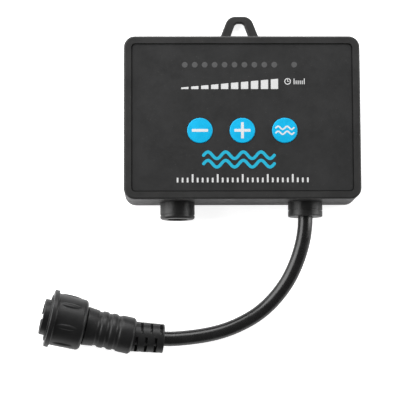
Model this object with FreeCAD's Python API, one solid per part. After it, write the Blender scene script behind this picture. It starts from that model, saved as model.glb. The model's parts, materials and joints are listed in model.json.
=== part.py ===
import FreeCAD, Part
import math
import os

# Controller of a wave maker pump: a flat two-shell case with three keys and a row of lamps,
# a power socket and a cable outlet on its lower edge, and a short output lead that ends in
# a round screw-on connector.  The case lies on its back.
# Millimetres.  Origin at the middle of the case's back face, +X to the right of the keypad,
# +Y towards the hanging eye, +Z out of the keypad.

V = FreeCAD.Vector
Z_AXIS = V(0, 0, 1)

# ---------------------------------------------------------------- driving dimensions
# case
CASE_W, CASE_H, CASE_T = 95.0, 66.0, 25.0
CORNER_R = 4.5
FRONT_EDGE_R = 0.8
BACK_EDGE_R = 0.6
WALL = 2.0
SPLIT_Z = 10.0              # height of the joint between the two shells
SHADOW_DEEP, SHADOW_HIGH = 0.3, 0.5
LIP_OUT, LIP_IN, LIP_HIGH = 1.05, 2.0, 1.2
LIP_GAP = 0.1
RIM_W, RECESS_DEEP, RECESS_R = 3.0, 0.9, 1.7
OVERLAY_GAP, OVERLAY_T = 0.45, 0.4
OVERLAY_R = 1.2
FRONT_FLOOR_Z = CASE_T - RECESS_DEEP          # outer face of the front wall, under the overlay
FRONT_INSIDE_Z = FRONT_FLOOR_Z - WALL
# case screws
BOSS_X, BOSS_Y, BOSS_R = 41.5, 27.0, 4.3
SCREW_R, SCREW_HEAD_R, SCREW_HEAD_Z = 1.45, 2.7, (3.2, 5.0)
SCREW_TIP_Z, SCREW_POINT = 17.0, 1.5
COUNTERBORE_R, CLEARANCE_R, PILOT_R = 3.1, 1.7, 1.5
# hanging eye
EYE_T, EYE_TOP = 3.0, CASE_H / 2 + 12.8
EYE_FOOT_X, EYE_TOP_X, EYE_TOP_R, EYE_FOOT_R = 9.6, 4.55, 4.2, 6.0
EYE_HOLE_FOOT_X, EYE_HOLE_TOP_X, EYE_HOLE_R, EYE_HOLE_FOOT_R = 4.9, 1.7, 1.8, 1.3
EYE_BAND = 2.85             # the loop's width at its top
EYE_EDGE_R = 0.7
# keys
KEY_PITCH, KEY_Y = 17.0, -5.4
KEY_R, KEY_FLANGE_R, KEY_POST_R = 5.1, 6.0, 2.0
KEY_TOP_Z, KEY_CROWN, KEY_EDGE = CASE_T - 0.05, 0.12, 0.35
KEY_PLAY = 0.1              # between a key and its hole, all round
KEY_NAMES = ("minus", "plus", "mode")
# lamps
LED_PITCH, LED_X0, LED_Y, LED_COUNT = 4.0, -23.0, 21.3, 10
TIMER_LED_X = 21.0
LED_R, LED_FLANGE_R, LED_FLANGE_T = 1.0, 1.3, 0.6
LED_LEG_R, LED_LEG_APART = 0.22, 1.1
LED_BASE_Z, LED_TOP_Z = 20.0, 24.4
# circuit board
BOARD_W, BOARD_H, BOARD_T = 88.0, 57.6, 1.6
BOARD_Z = 15.0              # its rear face
BOARD_TOP = BOARD_Z + BOARD_T
POST_X, POST_Y, POST_R = 34.0, 16.0, 2.5
SMALL_SCREW_R, SMALL_HEAD_R, SMALL_HEAD_T, SMALL_SCREW_DEEP = 0.85, 1.9, 1.3, 3.5
SMALL_PILOT_R, SMALL_CLEARANCE_R = 0.9, 1.1
# tact switches
SWITCH_W, SWITCH_H = 6.0, 2.6
SWITCH_LEG_X, SWITCH_LEG_Y, SWITCH_LEG_T = 3.0, 2.2, 0.4
PLUNGER_R, PLUNGER_HOLE_R, PLUNGER_OUT, PLUNGER_LONG = 1.7, 1.8, 0.9, 2.0
# parts on the board
CHIP_LEG_OUT, CHIP_LEG_IN, CHIP_LEG_T = 0.8, 0.3, 0.45
CAN_R, CAN_HIGH = 4.0, 11.0
DRUM_R, DRUM_CORE_R, DRUM_HIGH, DRUM_FLANGE_T = 4.0, 3.4, 5.0, 1.0
# sockets and glands on the lower edge
GLAND_X = 26.0
EDGE_Y = -CASE_H / 2
BUSH_R, NECK_R, FLANGE_R, FLANGE_T = 7.0, 6.0, 7.5, 1.5
SOCKET_LONG, GLAND_LONG = 6.85, 5.8
JACK_R, JACK_BORE_R, JACK_DEEP = 4.2, 2.8, 10.0
JACK_PIN_R, JACK_PIN_ROOT_R = 1.05, 1.3
JACK_FRONT = SOCKET_LONG - 0.5
JACK_FLOOR = JACK_FRONT - JACK_DEEP
JACK_REAR, JACK_TAIL_END = -8.5, -11.0
JACK_SLOT = (2.4, 3.1, 0.9)        # the spring's slot: inner and outer radius, half width
LEAF = (2.65, 3.0, 0.8)            # the spring's leaf, the same way
# wires inside the case
WIRE_R, WIRE_PITCH, WIRE_PITCH_IN_JACKET = 0.8, 3.6, 1.7
HEADER_Y, HEADER_W, HEADER_LONG = -15.0, 12.0, 6.5
TAIL_END_Y = -26.5
LEAD_R, LEAD_START_Y, TERMINALS_APART = 0.7, -22.0, 2.7
# output lead
CORD_R = 3.0
CORD_ROUTE = (
    (26.00, -38.80, 10.00),
    (26.00, -44.90, 10.00),
    (22.83, -56.80, 8.80),
    (17.68, -67.13, 6.20),
    (8.91, -76.82, 4.00),
    (-1.59, -82.88, 3.20),
    (-12.68, -86.42, 4.05),
    (-27.85, -88.24, 6.40),
    (-31.82, -87.93, 6.75),
)
# output connector: s runs along its axis from the rear face of the coupling nut to the nose
NUT_REAR = V(-63.8, -82.6, 10.3)
CONNECTOR_HEADING, CONNECTOR_TILT = 12.5, 7.0      # degrees above -X in plan, and up
NUT_LONG, NUT_R, NUT_REAR_R = 14.3, 10.55, 10.3
NUT_REAR_EDGE = (1.5, 1.9)         # how far the rounded rear edge reaches along and inwards
NUT_BORE_R, NUT_THREAD_R, THREAD_PITCH = 8.9, 9.35, 1.5
THREAD_TURNS = 5
NUT_REAR_WALL, NUT_REAR_BORE_R = 2.2, 6.6
NUT_FLANGE_R, NUT_FLANGE_T, NUT_FLANGE_FILLET = 11.7, 1.9, 0.5
NUT_BOSS_R, NUT_BOSS_T = 9.5, 0.6
RIBS, RIB_AT = 7, -13.8            # finger ribs, the first one's angle from the top
RIB_MIDDLE, RIB_HALF_LONG, RIB_HALF_WIDE, RIB_HIGH, RIB_SUNK = 7.2, 4.2, 1.15, 0.45, 0.3
NOSE_R, NOSE_BORE_R, NOSE_LONG = 7.3, 6.2, 17.3
CORE_NECK_R, CORE_SHOULDER_R = 6.5, 8.2
INSERT_FACE, INSERT_REAR = 16.2, 4.0
CONTACT_CIRCLE_R, CONTACT_OUT_R, CONTACT_IN_R = 3.2, 1.15, 0.8
NECK_END = -6.0                    # where the core's neck ends inside the grip
KEYWAY_HALF_W, KEYWAY_LONG = 1.0, 3.0
O_RING_AT, O_RING_R, O_RING_BED = 9.6, 0.85, 0.8
GRIP_R, GRIP_LONG, GRIP_FRONT = 7.45, 20.0, -0.3
GRIP_FRONT_R, GRIP_CONE = 7.9, 4.3         # the grip widens over its last stretch, towards the nut
GROOVE_AT, GROOVE_R, GROOVE_DEEP = (5.8, 9.7, 13.5), 1.2, 0.5
BOOT_LONG, BOOT_R_FRONT, BOOT_R_END = 12.4, 6.1, 5.85
BOOT_SLOT_W, BOOT_SLOT_PITCH, BOOT_CORE_R = 1.0, 3.9, 3.7
BOOT_SLOT_AT, BOOT_SLOT_SPAN = (55, -45), 84       # middle of the slots on each side, from the top
BOOT_FIRST_SLOT, BOOT_SLOTS = 0.9, 3


# ---------------------------------------------------------------- helpers
def box(low, high):
    """The block between two opposite corners."""
    size = V(*high) - V(*low)
    return Part.makeBox(size.x, size.y, size.z, V(*low))


def rod(radius, start, end):
    """A cylinder from one point to another."""
    along = V(*end) - V(*start)
    return Part.makeCylinder(radius, along.Length, V(*start), along)


def slab(width, height, radius, z0, z1):
    """A rounded rectangle about the Z axis, from z0 up to z1."""
    w, h, r = width / 2, height / 2, radius
    k = r * (1 - math.sqrt(0.5))
    edges = []
    for sx, sy, turn in ((1, 1, 0), (-1, 1, 1), (-1, -1, 0), (1, -1, 1)):
        a = V(sx * w, sy * (h - r), z0)
        b = V(sx * (w - k), sy * (h - k), z0)
        c = V(sx * (w - r), sy * h, z0)
        if turn:
            a, c = c, a
        edges.append(Part.Arc(a, b, c).toShape())
    ends = [(e.Vertexes[0].Point, e.Vertexes[-1].Point) for e in edges]
    for i in range(4):
        edges.append(Part.LineSegment(ends[i][1], ends[(i + 1) % 4][0]).toShape())
    wire = Part.Wire(Part.__sortEdges__(edges))
    return Part.Face(wire).extrude(V(0, 0, z1 - z0))


def inset_slab(inset, z0, z1, least_r=0.3):
    """The case's own outline, moved in all round by inset."""
    radius = max(CORNER_R - inset, least_r)
    return slab(CASE_W - 2 * inset, CASE_H - 2 * inset, radius, z0, z1)


def turned(outline):
    """The solid that a closed outline of (along, radius) points makes when it turns round Z.

    A point written (along, radius, mid_along, mid_radius) is reached by an arc through mid.
    """
    edges = []
    for i, point in enumerate(outline):
        before = outline[i - 1]
        a, b = V(before[1], 0, before[0]), V(point[1], 0, point[0])
        if len(point) == 4:
            edges.append(Part.Arc(a, V(point[3], 0, point[2]), b).toShape())
        else:
            edges.append(Part.LineSegment(a, b).toShape())
    return Part.Face(Part.Wire(edges)).revolve(V(0, 0, 0), Z_AXIS, 360)


def facing(shape, at, way, up=Z_AXIS):
    """A shape made round Z, moved so that its Z runs along way and its Y stays near up."""
    z = V(*way).normalize()
    x = V(*up).cross(z).normalize()
    y = z.cross(x)
    moved = shape.copy()
    moved.Placement = FreeCAD.Placement(V(*at), FreeCAD.Rotation(x, y, z, "ZXY"))
    return moved


def route_wire(points):
    """The path through a route's points: straight runs, with an arc tangent to both at each turn."""
    points = [V(*p) for p in points]
    edges, radii, last = [], [], points[0]
    for before, corner, after in zip(points, points[1:], points[2:]):
        back, on = (before - corner).normalize(), (after - corner).normalize()
        turn = math.pi - back.getAngle(on)
        reach = 0.45 * min((before - corner).Length, (after - corner).Length)
        radius = reach / math.tan(turn / 2)
        centre_way = (back + on).normalize()
        dip = radius / math.cos(turn / 2) - radius
        start, end = corner + back * reach, corner + on * reach
        edges.append(Part.LineSegment(last, start).toShape())
        edges.append(Part.Arc(start, corner + centre_way * dip, end).toShape())
        radii.append(radius)
        last = end
    edges.append(Part.LineSegment(last, points[-1]).toShape())
    return Part.Wire(edges), radii


def tube(points, radius):
    """A round tube along a route."""
    path = route_wire(points)[0]
    start = V(*points[0])
    ring = Part.Wire(Part.Circle(start, V(*points[1]) - start, radius).toShape())
    return path.makePipeShell([ring], True, True)


def united(shapes):
    """One solid from shapes that overlap."""
    whole = shapes[0].multiFuse(shapes[1:]).removeSplitter()
    return whole.Solids[0] if len(whole.Solids) == 1 else whole


def four_corners(x, y):
    return [(sx * x, sy * y) for sx in (-1, 1) for sy in (-1, 1)]


# ---------------------------------------------------------------- the case
def led_places():
    return [LED_X0 + i * LED_PITCH for i in range(LED_COUNT)] + [TIMER_LED_X]


def key_places():
    return [(i - 1) * KEY_PITCH for i in range(len(KEY_NAMES))]


def outlet_holes():
    """The two holes in the lower wall, each shared by both shells."""
    y0, y1 = EDGE_Y - 1, EDGE_Y + WALL + 1
    return [rod(NECK_R + 0.05, (x, y0, SPLIT_Z), (x, y1, SPLIT_Z)) for x in (-GLAND_X, GLAND_X)]


def shadow_gap():
    """The fine groove that hides the joint between the shells."""
    z0, z1 = SPLIT_Z - SHADOW_HIGH / 2, SPLIT_Z + SHADOW_HIGH / 2
    return slab(CASE_W + 2, CASE_H + 2, CORNER_R, z0, z1).cut(inset_slab(SHADOW_DEEP, z0, z1))


def edges_at(shape, z):
    """The edges that lie at one height."""
    return [e for e in shape.Edges if abs(e.BoundBox.ZMin - z) + abs(e.BoundBox.ZMax - z) < 1e-4]


def front_case():
    """Front shell: rim, recess for the overlay, screw bosses and posts for the board."""
    shell = inset_slab(0, SPLIT_Z, CASE_T)
    shell = shell.makeFillet(FRONT_EDGE_R, edges_at(shell, CASE_T))
    recess_w, recess_h = CASE_W - 2 * RIM_W, CASE_H - 2 * RIM_W
    shell = shell.cut(slab(recess_w, recess_h, RECESS_R, FRONT_FLOOR_Z, CASE_T + 1))
    shell = shell.cut(inset_slab(WALL, SPLIT_Z - 1, FRONT_INSIDE_Z))
    ceiling = FRONT_INSIDE_Z + 0.5
    bosses = [rod(BOSS_R, (x, y, SPLIT_Z), (x, y, ceiling)) for x, y in four_corners(BOSS_X, BOSS_Y)]
    posts = [rod(POST_R, (x, y, BOARD_TOP), (x, y, ceiling)) for x, y in four_corners(POST_X, POST_Y)]
    shell = united([shell] + bosses + posts)
    rebate_top = SPLIT_Z + LIP_HIGH + LIP_GAP
    rebate = inset_slab(LIP_OUT - LIP_GAP, SPLIT_Z - 1, rebate_top).cut(
        inset_slab(LIP_IN + LIP_GAP, SPLIT_Z - 1, rebate_top)
    )
    cuts = [rebate, shadow_gap()] + outlet_holes()
    for x, y in four_corners(BOSS_X, BOSS_Y):
        cuts.append(rod(PILOT_R, (x, y, SPLIT_Z - 1), (x, y, SCREW_TIP_Z + 1)))
    for x, y in four_corners(POST_X, POST_Y):
        cuts.append(rod(SMALL_PILOT_R, (x, y, BOARD_TOP - 1), (x, y, BOARD_TOP + SMALL_SCREW_DEEP + 0.5)))
    for x in key_places():
        cuts.append(rod(KEY_R + KEY_PLAY, (x, KEY_Y, FRONT_INSIDE_Z - 1), (x, KEY_Y, CASE_T)))
    for x in led_places():
        cuts.append(rod(LED_R + KEY_PLAY, (x, LED_Y, FRONT_INSIDE_Z - 1), (x, LED_Y, CASE_T)))
    return shell.cut(cuts)


def eye_outline(points, corner_radii):
    """A closed outline through points in plan, each corner rounded by its own radius."""
    points = [V(x, y, 0) for x, y in points]
    edges, starts, ends = [], [], []
    for i, radius in enumerate(corner_radii):
        corner = points[i]
        back = (points[i - 1] - corner).normalize()
        on = (points[(i + 1) % len(points)] - corner).normalize()
        turn = math.pi - back.getAngle(on)
        reach = radius * math.tan(turn / 2)
        dip = radius / math.cos(turn / 2) - radius
        starts.append(corner + back * reach)
        ends.append(corner + on * reach)
        mid = corner + (back + on).normalize() * dip
        edges.append(Part.Arc(starts[-1], mid, ends[-1]).toShape())
    for i in range(len(points)):
        edges.append(Part.LineSegment(ends[i - 1], starts[i]).toShape())
    return Part.Face(Part.Wire(Part.__sortEdges__(edges)))


def hanging_eye():
    """The loop on the back edge that hangs on a hook."""
    foot = CASE_H / 2
    root_x, root_y = EYE_FOOT_X + 3.4, foot - 3
    right = [(EYE_TOP_X, EYE_TOP), (EYE_FOOT_X, foot), (root_x, root_y)]
    left = [(-x, y) for x, y in reversed(right)]
    outside = eye_outline(left + right, [0.4, EYE_FOOT_R, EYE_TOP_R, EYE_TOP_R, EYE_FOOT_R, 0.4])
    right = [(EYE_HOLE_TOP_X, EYE_TOP - EYE_BAND), (EYE_HOLE_FOOT_X, foot + 1.0)]
    left = [(-x, y) for x, y in reversed(right)]
    inside = eye_outline(left + right, [EYE_HOLE_FOOT_R, EYE_HOLE_R, EYE_HOLE_R, EYE_HOLE_FOOT_R])
    loop = outside.cut(inside).extrude(V(0, 0, EYE_T))
    rims = [e for e in loop.Edges if e.BoundBox.ZLength < 1e-4 and e.BoundBox.YMin > foot - 2]
    return loop.makeFillet(EYE_EDGE_R, rims)


def rear_case():
    """Rear shell: back wall, locating lip, screw pillars and the hanging eye."""
    shell = inset_slab(0, 0, SPLIT_Z)
    shell = shell.makeFillet(BACK_EDGE_R, edges_at(shell, 0))
    lip = inset_slab(LIP_OUT, SPLIT_Z - 1, SPLIT_Z + LIP_HIGH)
    shell = united([shell, lip])
    shell = shell.cut(inset_slab(WALL, WALL, SPLIT_Z + LIP_HIGH + 1))
    pillars = [rod(BOSS_R, (x, y, 1), (x, y, SPLIT_Z)) for x, y in four_corners(BOSS_X, BOSS_Y)]
    shell = united([shell, hanging_eye()] + pillars)
    cuts = [shadow_gap()] + outlet_holes()
    for x, y in four_corners(BOSS_X, BOSS_Y):
        cuts.append(rod(COUNTERBORE_R, (x, y, -1), (x, y, SCREW_HEAD_Z[1])))
        cuts.append(rod(CLEARANCE_R, (x, y, 0), (x, y, SPLIT_Z + 1)))
    return shell.cut(cuts)


def cross_recess(x, y, head_z, deep, half_width, half_length):
    """The cross that a screwdriver turns, cut up into a head whose face is at head_z."""
    arms = []
    for wide, long in ((half_width, half_length), (half_length, half_width)):
        arms.append(box((x - wide, y - long, head_z - 1), (x + wide, y + long, head_z + deep)))
    return united(arms)


def case_screws():
    """Four screws that go in from the back and hold the shells together."""
    screws = []
    for x, y in four_corners(BOSS_X, BOSS_Y):
        low, high = SCREW_HEAD_Z
        head = rod(SCREW_HEAD_R, (x, y, low), (x, y, high))
        head = head.makeFillet(0.5, edges_at(head, low))
        shank = rod(SCREW_R, (x, y, high - 0.5), (x, y, SCREW_TIP_Z - SCREW_POINT))
        tip = Part.makeCone(SCREW_R, 0.4, SCREW_POINT, V(x, y, SCREW_TIP_Z - SCREW_POINT))
        screws.append(united([head, shank, tip]).cut(cross_recess(x, y, low, 1.0, 0.35, 1.5)))
    return Part.Compound(screws)


def board_screws():
    """Four small screws that hold the board to the posts of the front shell."""
    screws = []
    for x, y in four_corners(POST_X, POST_Y):
        head_z = BOARD_Z - SMALL_HEAD_T
        head = rod(SMALL_HEAD_R, (x, y, head_z), (x, y, BOARD_Z))
        shank = rod(SMALL_SCREW_R, (x, y, BOARD_Z - 0.3), (x, y, BOARD_TOP + SMALL_SCREW_DEEP))
        screws.append(united([head, shank]).cut(cross_recess(x, y, head_z, 0.7, 0.22, 1.0)))
    return Part.Compound(screws)


def front_overlay():
    """The printed sheet in the front recess, with holes for the keys and lamps."""
    inset = RIM_W + OVERLAY_GAP
    z0, z1 = FRONT_FLOOR_Z, FRONT_FLOOR_Z + OVERLAY_T
    sheet = slab(CASE_W - 2 * inset, CASE_H - 2 * inset, OVERLAY_R, z0, z1)
    cuts = [rod(KEY_R + KEY_PLAY, (x, KEY_Y, z0 - 1), (x, KEY_Y, z1 + 1)) for x in key_places()]
    cuts += [rod(LED_R + KEY_PLAY, (x, LED_Y, z0 - 1), (x, LED_Y, z1 + 1)) for x in led_places()]
    return sheet.cut(cuts)


# ---------------------------------------------------------------- keys, switches and lamps
def key_cap(x):
    """A key: a crowned cap, a flange that keeps it in the case, and a post on its switch."""
    flange_top = FRONT_INSIDE_Z - 0.1
    flange_low = flange_top - 1.0
    post_low = BOARD_TOP + SWITCH_H + PLUNGER_OUT
    shoulder = KEY_TOP_Z - KEY_CROWN
    slant = KEY_EDGE * (1 - math.sqrt(0.5))
    crown_w = KEY_R - KEY_EDGE
    crown_r = (crown_w ** 2 + KEY_CROWN ** 2) / (2 * KEY_CROWN)
    crown_drop = crown_r - math.sqrt(crown_r ** 2 - (crown_w / 2) ** 2)
    cap = turned([
        (post_low, 0.0),
        (post_low, KEY_POST_R),
        (flange_low, KEY_POST_R),
        (flange_low, KEY_FLANGE_R),
        (flange_top, KEY_FLANGE_R),
        (flange_top, KEY_R),
        (shoulder - KEY_EDGE, KEY_R),
        (shoulder, crown_w, shoulder - slant, KEY_R - slant),
        (KEY_TOP_Z, 0.0, KEY_TOP_Z - crown_drop, crown_w / 2),
    ])
    cap.translate(V(x, KEY_Y, 0))
    return cap


def switch_body(x):
    """The body of a square tact switch, with its four legs."""
    half = SWITCH_W / 2
    low, high = BOARD_TOP, BOARD_TOP + SWITCH_H
    body = box((x - half, KEY_Y - half, low), (x + half, KEY_Y + half, high))
    body = body.makeFillet(0.4, edges_at(body, high))
    legs = []
    for dx, dy in four_corners(SWITCH_LEG_X, SWITCH_LEG_Y):
        leg_x, leg_y = x + dx, KEY_Y + dy
        legs.append(box((leg_x - 0.6, leg_y - 0.4, low), (leg_x + 0.6, leg_y + 0.4, low + SWITCH_LEG_T)))
    return united([body] + legs).cut(rod(PLUNGER_HOLE_R, (x, KEY_Y, low + 1.0), (x, KEY_Y, high + 1)))


def switch_plunger(x):
    """The plunger that a key pushes down into its switch."""
    top = BOARD_TOP + SWITCH_H + PLUNGER_OUT
    return rod(PLUNGER_R, (x, KEY_Y, top - PLUNGER_LONG), (x, KEY_Y, top))


def led(x):
    """A small round lamp on two legs, whose dome shows in the overlay."""
    dome = LED_TOP_Z - LED_R
    slant = LED_R * math.sqrt(0.5)
    lens = turned([
        (LED_BASE_Z, 0.0),
        (LED_BASE_Z, LED_FLANGE_R),
        (LED_BASE_Z + LED_FLANGE_T, LED_FLANGE_R),
        (LED_BASE_Z + LED_FLANGE_T, LED_R),
        (dome, LED_R),
        (LED_TOP_Z, 0.0, dome + slant, slant),
    ])
    lens.translate(V(x, LED_Y, 0))
    legs = []
    for y in (LED_Y - LED_LEG_APART / 2, LED_Y + LED_LEG_APART / 2):
        legs.append(rod(LED_LEG_R, (x, y, BOARD_TOP), (x, y, LED_BASE_Z + 0.3)))
    return united([lens] + legs)


# ---------------------------------------------------------------- circuit board and its parts
def circuit_board():
    """The board, cut away round the screw bosses and drilled for its own screws."""
    board = slab(BOARD_W, BOARD_H, 1.5, BOARD_Z, BOARD_TOP)
    low, high = BOARD_Z - 1, BOARD_TOP + 1
    cuts = [rod(BOSS_R + 0.7, (x, y, low), (x, y, high)) for x, y in four_corners(BOSS_X, BOSS_Y)]
    cuts += [rod(SMALL_CLEARANCE_R, (x, y, low), (x, y, high)) for x, y in four_corners(POST_X, POST_Y)]
    return board.cut(cuts)


def chip(x, y, width, height, thick, legs, leg_pitch):
    """A chip on the rear face of the board, with a row of legs on two sides."""
    high = BOARD_Z - 0.15
    low = high - thick
    body = box((x - width / 2, y - height / 2, low), (x + width / 2, y + height / 2, high))
    body = body.makeChamfer(0.15, edges_at(body, low))
    parts = [body]
    for i in range(legs):
        leg_y = y + (i - (legs - 1) / 2) * leg_pitch
        for x0 in (x - width / 2 - CHIP_LEG_OUT, x + width / 2 - CHIP_LEG_IN):
            x1 = x0 + CHIP_LEG_OUT + CHIP_LEG_IN
            parts.append(box((x0, leg_y - 0.2, BOARD_Z - CHIP_LEG_T), (x1, leg_y + 0.2, BOARD_Z)))
    return united(parts)


def capacitor(x, y):
    """A can capacitor under the board, with the groove that holds its rubber bung."""
    low = BOARD_Z - CAN_HIGH
    can = rod(CAN_R, (x, y, low), (x, y, BOARD_Z))
    can = can.makeFillet(0.6, edges_at(can, low))
    groove = Part.makeTorus(CAN_R + 0.2, 0.5, V(x, y, BOARD_Z - 1.8), Z_AXIS)
    return can.cut(groove)


def inductor(x, y):
    """A drum inductor: two ferrite flanges with the winding between them."""
    low = BOARD_Z - DRUM_HIGH
    rear = rod(DRUM_R, (x, y, low), (x, y, low + DRUM_FLANGE_T))
    front = rod(DRUM_R, (x, y, BOARD_Z - DRUM_FLANGE_T), (x, y, BOARD_Z))
    return united([rear, front, rod(DRUM_CORE_R, (x, y, low), (x, y, BOARD_Z))])


def wire_header(x, y):
    """The block on the board that takes the three wires of the output lead."""
    low, high = SPLIT_Z - 2.4, BOARD_Z
    block = box((x - HEADER_W / 2, y, low), (x + HEADER_W / 2, y + HEADER_LONG, high))
    block = block.makeChamfer(0.6, edges_at(block, low))
    cuts = []
    for i in (-1, 0, 1):
        wire_x = x + i * WIRE_PITCH
        cuts.append(rod(WIRE_R + 0.15, (wire_x, y - 1, SPLIT_Z), (wire_x, y + 3, SPLIT_Z)))
    return block.cut(cuts)


def phase_wire(i):
    """One of the three wires from the end of the lead's jacket to the header."""
    near, far = GLAND_X + i * WIRE_PITCH_IN_JACKET, GLAND_X + i * WIRE_PITCH
    start, end = TAIL_END_Y, HEADER_Y + 2.5
    if i == 0:
        return rod(WIRE_R, (near, start, SPLIT_Z), (near, end, SPLIT_Z))
    in_plan = [(near, start), (near, start + 3.5), (far, start + 8.0), (far, end)]
    return tube([(x, y, SPLIT_Z) for x, y in in_plan], WIRE_R)


def power_lead(side, rise_y):
    """A wire from a terminal of the power socket up to the board."""
    x = -GLAND_X + side * TERMINALS_APART
    return tube([(x, LEAD_START_Y, SPLIT_Z), (x, rise_y, SPLIT_Z), (x, rise_y, BOARD_Z)], LEAD_R)


# ---------------------------------------------------------------- power socket and cable gland
def collar(long, edge_r, groove_at, bore_r):
    """A round collar through the lower wall, made along +Z from the case outwards.

    A flange inside and the shoulder outside hold it between the two shells.
    """
    slant = edge_r * (1 - math.sqrt(0.5))
    groove = long - groove_at
    return turned([
        (-WALL - FLANGE_T, bore_r),
        (-WALL - FLANGE_T, FLANGE_R),
        (-WALL, FLANGE_R),
        (-WALL, NECK_R),
        (0.0, NECK_R),
        (0.0, BUSH_R),
        (groove - 0.25, BUSH_R),
        (groove - 0.25, BUSH_R - 0.35),
        (groove + 0.25, BUSH_R - 0.35),
        (groove + 0.25, BUSH_R),
        (long - edge_r, BUSH_R),
        (long, BUSH_R - edge_r, long - slant, BUSH_R - slant),
        (long, bore_r),
    ])


def on_lower_edge(shape, x):
    return facing(shape, (x, EDGE_Y, SPLIT_Z), (0, -1, 0))


def power_socket_collar():
    return on_lower_edge(collar(SOCKET_LONG, 1.0, 1.7, JACK_R), -GLAND_X)


def cable_gland():
    return on_lower_edge(collar(GLAND_LONG, 0.4, 2.5, CORD_R), GLAND_X)


def power_jack_body():
    """The insulator of the power socket, with a slot for its spring contact."""
    body = turned([
        (JACK_REAR, JACK_PIN_ROOT_R),
        (JACK_REAR, JACK_R),
        (JACK_FRONT, JACK_R),
        (JACK_FRONT, JACK_BORE_R + 0.4),
        (JACK_FRONT - 0.4, JACK_BORE_R),
        (JACK_FLOOR, JACK_BORE_R),
        (JACK_FLOOR, JACK_PIN_ROOT_R),
    ])
    inner, outer, half = JACK_SLOT
    body = body.cut(box((inner, -half, JACK_REAR - 1), (outer, half, JACK_FRONT - 1.2)))
    return on_lower_edge(body, -GLAND_X)


def power_jack_pin():
    """The centre pin of the power socket, with its solder tail."""
    tip = SOCKET_LONG - 1.9
    slant = JACK_PIN_R * math.sqrt(0.5)
    pin = turned([
        (JACK_TAIL_END, 0.0),
        (JACK_TAIL_END, JACK_PIN_ROOT_R),
        (JACK_FLOOR, JACK_PIN_ROOT_R),
        (JACK_FLOOR, JACK_PIN_R),
        (tip - JACK_PIN_R, JACK_PIN_R),
        (tip, 0.0, tip - JACK_PIN_R + slant, slant),
    ])
    return on_lower_edge(pin, -GLAND_X)


def power_jack_spring():
    """The leaf that presses on the barrel of the plug, with its solder tail."""
    inner, outer, half = LEAF
    leaf = box((inner, -half, JACK_TAIL_END), (outer, half, SOCKET_LONG - 2.2))
    bump = rod(0.35, (inner + 0.07, -half, 2.0), (inner + 0.07, half, 2.0))
    return on_lower_edge(united([leaf, bump]), -GLAND_X)


def cable_tail():
    """The jacket of the output lead inside the gland and the case."""
    return rod(CORD_R, (GLAND_X, EDGE_Y - GLAND_LONG, SPLIT_Z), (GLAND_X, TAIL_END_Y, SPLIT_Z))


# ---------------------------------------------------------------- output lead and connector
def output_cable():
    return tube(CORD_ROUTE, CORD_R)


def boot_way():
    """The direction of the boot, from the lead towards the connector."""
    return (V(*CORD_ROUTE[-1]) - V(*CORD_ROUTE[-2])).normalize()


def nose_way():
    """The direction of the connector's axis, towards its nose."""
    heading, tilt = math.radians(CONNECTOR_HEADING), math.radians(CONNECTOR_TILT)
    return V(-math.cos(tilt) * math.cos(heading), math.cos(tilt) * math.sin(heading), math.sin(tilt))


def on_connector(shape):
    return facing(shape, NUT_REAR, nose_way())


def ring_slot(s, width, inner, outer, middle, span):
    """A slot round part of a circle, centred at the angle middle from the top."""
    sector = Part.makeCylinder(outer, width, V(0, 0, s), Z_AXIS, span)
    sector = sector.cut(Part.makeCylinder(inner, width, V(0, 0, s), Z_AXIS))
    sector.rotate(V(0, 0, 0), Z_AXIS, 90 + middle - span / 2)
    return sector


def connector_boot():
    """The slotted boot that lets the lead bend behind the connector."""
    r0, r1, edge = BOOT_R_END, BOOT_R_FRONT, 0.5
    slant = edge * (1 - math.sqrt(0.5))
    boot = turned([
        (0.0, 0.0),
        (0.0, r0 - edge),
        (edge, r0, slant, r0 - slant),
        (BOOT_LONG + 2, r1),
        (BOOT_LONG + 2, 0.0),
    ])
    slots = []
    for i in range(BOOT_SLOTS):
        for half, middle in enumerate(BOOT_SLOT_AT):
            s = BOOT_FIRST_SLOT + (i + half / 2) * BOOT_SLOT_PITCH
            for opposite in (0, 180):
                at = middle + opposite
                slots.append(ring_slot(s, BOOT_SLOT_W, BOOT_CORE_R, r1 + 1, at, BOOT_SLOT_SPAN))
    boot = facing(boot.cut(slots), CORD_ROUTE[-1], boot_way())
    ahead = on_connector(Part.makeCylinder(30, 30, V(0, 0, GRIP_FRONT - GRIP_LONG)))
    return boot.cut(ahead)


def connector_grip():
    """The moulded rear body, ribbed for the fingers, whose socket holds the core's neck."""
    front, rear = GRIP_FRONT, GRIP_FRONT - GRIP_LONG
    body = turned([
        (rear, 0.0),
        (rear, GRIP_R - 0.9),
        (rear + 0.7, GRIP_R),
        (front - GRIP_CONE, GRIP_R),
        (front - 0.3, GRIP_FRONT_R),
        (front, GRIP_FRONT_R - 0.3),
        (front, CORE_NECK_R),
        (NECK_END, CORE_NECK_R),
        (NECK_END, 0.0),
    ])
    rings = [
        Part.makeTorus(GRIP_R + GROOVE_R - GROOVE_DEEP, GROOVE_R, V(0, 0, -at), Z_AXIS)
        for at in GROOVE_AT
    ]
    return on_connector(body.cut(rings))


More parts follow.
